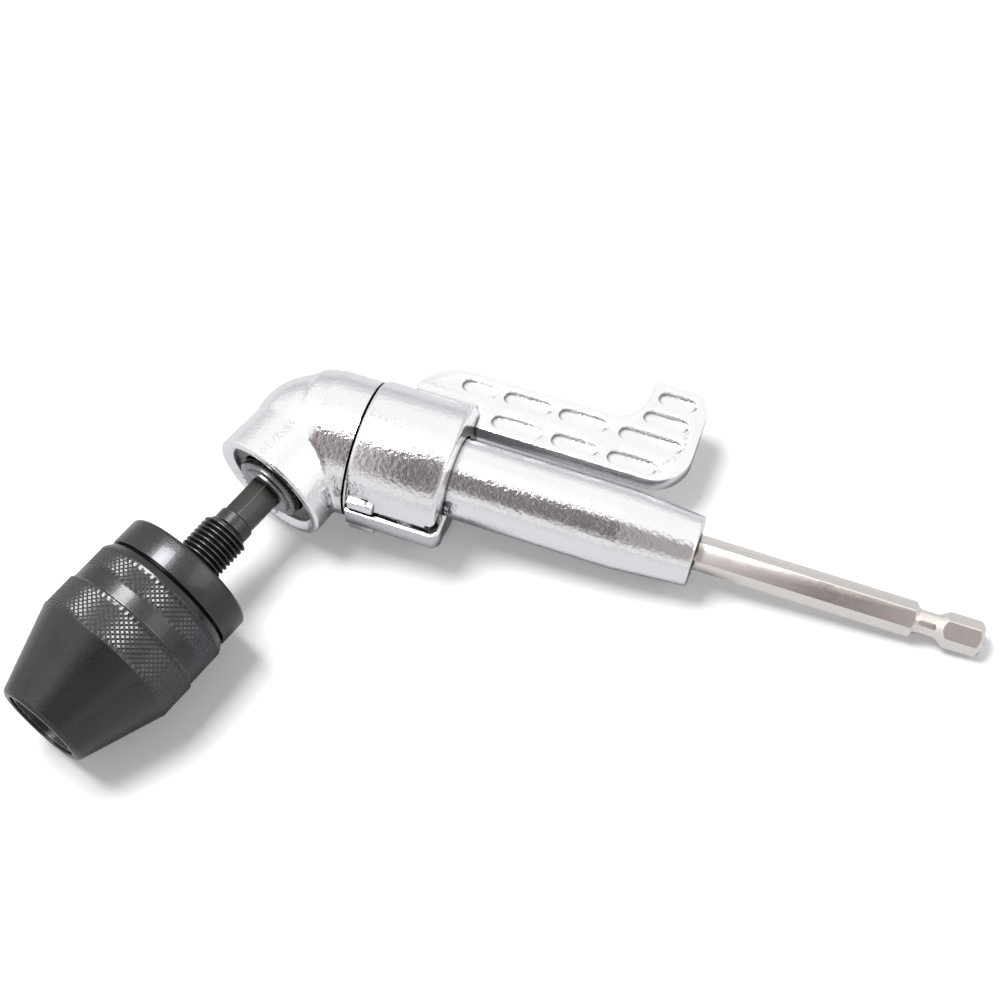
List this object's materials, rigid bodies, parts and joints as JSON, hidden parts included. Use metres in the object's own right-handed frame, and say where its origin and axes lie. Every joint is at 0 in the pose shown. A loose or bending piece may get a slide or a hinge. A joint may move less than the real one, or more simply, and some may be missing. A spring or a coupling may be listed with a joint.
{
  "type": "angle bit driver",
  "caption": "Right-angle bit driver: chrome elbow head with hexagon shank, rotating finned thumb grip with lock lever, and black keyless chuck on a hexagon arbor.",
  "frame": {"origin": "centre of the hexagon shank's free end face", "axes": "+X along the barrel toward the elbow, +Y toward the chuck's side, +Z across the plane of the barrel and chuck"},
  "size_m": [0.1748, 0.1124, 0.0318],
  "materials": {
    "cast_chrome": "plated zinc casting, bright",
    "grip_chrome": "plated casting, bright",
    "nickel_plate": "nickel plated bar, satin",
    "black_oxide": "black oxide steel, satin",
    "bright_steel": "bright steel",
    "bearing_steel": "ground steel",
    "spring_steel": "spring steel",
    "gear_steel": "machined steel",
    "jaw_steel": "hardened steel",
    "magnet": "nickel coated magnet",
    "sintered_bronze": "oiled sintered bronze",
    "seal_rubber": "black seal"
  },
  "bodies": {
    "head": {"head_housing": "cast_chrome", "barrel_tube": "cast_chrome", "rear_bush": "sintered_bronze", "front_bush": "sintered_bronze", "thrust_washer": "sintered_bronze", "output_bearing_outer": "bearing_steel", "output_bearing_balls": "bearing_steel", "output_bearing_seal": "seal_rubber", "mouth_snap_ring": "black_oxide", "grip_snap_ring": "spring_steel"},
    "input": {"input_shaft": "nickel_plate", "shaft_clip": "spring_steel", "drive_bevel_gear": "gear_steel"},
    "spindle": {"output_spindle": "bright_steel", "driven_bevel_gear": "gear_steel", "output_bearing_inner": "bearing_steel", "socket_magnet": "magnet"},
    "arbor": {"chuck_arbor": "black_oxide", "chuck_body": "black_oxide", "chuck_rear_ring": "black_oxide"},
    "sleeve": {"chuck_sleeve": "black_oxide", "chuck_nut": "gear_steel"},
    "jaw_1": {"chuck_jaw_1": "jaw_steel"},
    "jaw_2": {"chuck_jaw_2": "jaw_steel"},
    "jaw_3": {"chuck_jaw_3": "jaw_steel"},
    "grip": {"thumb_grip": "grip_chrome", "lever_pin": "bright_steel", "lever_leaf_spring": "spring_steel"},
    "lever": {"release_lever": "bright_steel"}
  },
  "joints": [
    {"name": "spindle_spin", "type": "hinge", "parent": "head", "child": "spindle", "pos_m": [0.138, 0, 0], "axis": [0.342, 0.9397, 0], "continuous": true},
    {"name": "input_spin", "type": "hinge", "parent": "head", "child": "input", "pos_m": [0, 0, 0], "axis": [1, 0, 0], "continuous": true},
    {"name": "arbor_pull", "type": "slide", "parent": "spindle", "child": "arbor", "axis": [0.342, 0.9397, 0], "range_m": [0, 0.012]},
    {"name": "sleeve_turn", "type": "hinge", "parent": "arbor", "child": "sleeve", "pos_m": [0.15852, 0.05638, 0], "axis": [-0.342, -0.9397, 0], "range_deg": [0, 2880]},
    {"name": "jaw_1_slide", "type": "slide", "parent": "arbor", "child": "jaw_1", "axis": [0.4135, 0.8774, 0.2432], "range_m": [0, 0.01102]},
    {"name": "jaw_2_slide", "type": "slide", "parent": "arbor", "child": "jaw_2", "axis": [0.4867, 0.8508, -0.1983], "range_m": [0, 0.01102]},
    {"name": "jaw_3_slide", "type": "slide", "parent": "arbor", "child": "jaw_3", "axis": [0.0909, 0.9948, -0.0449], "range_m": [0, 0.01102]},
    {"name": "grip_turn", "type": "hinge", "parent": "head", "child": "grip", "pos_m": [0.12, 0, 0], "axis": [1, 0, 0], "continuous": true},
    {"name": "lever_press", "type": "hinge", "parent": "grip", "child": "lever", "pos_m": [0.123, 0.0137, 0], "axis": [0, 0, 1], "range_deg": [0, 4], "stiffness_Nm_per_rad": 0.05, "springref_deg": -2.86, "deforming": ["lever_leaf_spring"]}
  ],
  "couplings": [
    {"joint": "input_spin", "follows": "spindle_spin", "ratio": 1},
    {"joint": "sleeve_turn", "follows": "jaw_1_slide", "rad_per_m": 4561.3},
    {"joint": "jaw_2_slide", "follows": "jaw_1_slide", "ratio": 1},
    {"joint": "jaw_3_slide", "follows": "jaw_1_slide", "ratio": 1}
  ]
}
